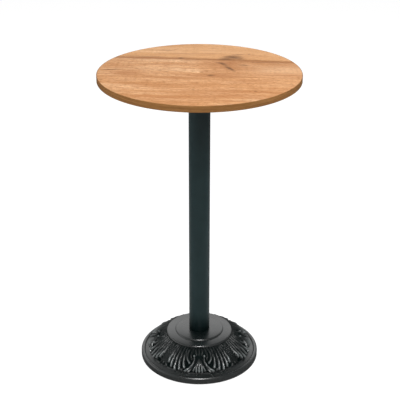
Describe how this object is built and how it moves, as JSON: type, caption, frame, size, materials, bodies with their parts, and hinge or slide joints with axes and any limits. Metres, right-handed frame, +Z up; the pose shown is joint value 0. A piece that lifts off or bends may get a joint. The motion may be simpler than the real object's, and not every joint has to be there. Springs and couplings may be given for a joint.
{
  "type": "bar table",
  "caption": "Tall round bar table: oak-decor top on a straight steel column, with a domed cast-iron base ringed by acanthus leaves and palmettes and standing on levelling feet.",
  "frame": {"origin": "middle of the base, on the floor under the foot pads", "axes": "+Z up along the column, -Y towards the viewer of the picture, +X to the viewer's right and along the grain of the top"},
  "size_m": [0.7, 0.7, 1.122],
  "materials": {
    "oak_decor_board": "melamine-faced chipboard with a rustic oak decor, satin",
    "oak_edge_band": "edge band with oak decor, matt",
    "black_powder_coat": "black powder coat, satin",
    "black_cast_iron": "cast iron, black paint, semi-gloss",
    "zinc_plated_steel": "zinc plated",
    "black_nylon": "moulded black nylon"
  },
  "bodies": {
    "table": {"tabletop_board": "oak_decor_board", "edge_band": "oak_edge_band", "top_spider": "black_cast_iron", "spider_screws": "zinc_plated_steel", "column_tube": "black_powder_coat", "tie_rod": "zinc_plated_steel", "tie_rod_top_nut": "zinc_plated_steel", "tie_rod_top_washer": "zinc_plated_steel", "tie_rod_bottom_washer": "zinc_plated_steel", "tie_rod_spring_washer": "zinc_plated_steel", "tie_rod_bottom_nut": "zinc_plated_steel", "base_casting": "black_cast_iron"},
    "foot_1_pad": {"foot_pad_1": "black_nylon"},
    "foot_1_stem": {"foot_stem_1": "zinc_plated_steel"},
    "foot_2_pad": {"foot_pad_2": "black_nylon"},
    "foot_2_stem": {"foot_stem_2": "zinc_plated_steel"},
    "foot_3_pad": {"foot_pad_3": "black_nylon"},
    "foot_3_stem": {"foot_stem_3": "zinc_plated_steel"},
    "foot_4_pad": {"foot_pad_4": "black_nylon"},
    "foot_4_stem": {"foot_stem_4": "zinc_plated_steel"}
  },
  "joints": [
    {"name": "foot_1_height", "type": "slide", "parent": "table", "child": "foot_1_pad", "axis": [0, 0, -1], "range_m": [0, 0.01001]},
    {"name": "foot_1_turn", "type": "hinge", "parent": "foot_1_pad", "child": "foot_1_stem", "pos_m": [0.11738, 0.11738, 0.0075], "axis": [0, 0, -1], "range_deg": [0, 2880]},
    {"name": "foot_2_height", "type": "slide", "parent": "table", "child": "foot_2_pad", "axis": [0, 0, -1], "range_m": [0, 0.01001]},
    {"name": "foot_2_turn", "type": "hinge", "parent": "foot_2_pad", "child": "foot_2_stem", "pos_m": [-0.11738, 0.11738, 0.0075], "axis": [0, 0, -1], "range_deg": [0, 2880]},
    {"name": "foot_3_height", "type": "slide", "parent": "table", "child": "foot_3_pad", "axis": [0, 0, -1], "range_m": [0, 0.01001]},
    {"name": "foot_3_turn", "type": "hinge", "parent": "foot_3_pad", "child": "foot_3_stem", "pos_m": [-0.11738, -0.11738, 0.0075], "axis": [0, 0, -1], "range_deg": [0, 2880]},
    {"name": "foot_4_height", "type": "slide", "parent": "table", "child": "foot_4_pad", "axis": [0, 0, -1], "range_m": [0, 0.01001]},
    {"name": "foot_4_turn", "type": "hinge", "parent": "foot_4_pad", "child": "foot_4_stem", "pos_m": [0.11738, -0.11738, 0.0075], "axis": [0, 0, -1], "range_deg": [0, 2880]}
  ],
  "couplings": [
    {"joint": "foot_1_height", "follows": "foot_1_turn", "m_per_rad": 0.00019894},
    {"joint": "foot_2_height", "follows": "foot_2_turn", "m_per_rad": 0.00019894},
    {"joint": "foot_3_height", "follows": "foot_3_turn", "m_per_rad": 0.00019894},
    {"joint": "foot_4_height", "follows": "foot_4_turn", "m_per_rad": 0.00019894}
  ]
}
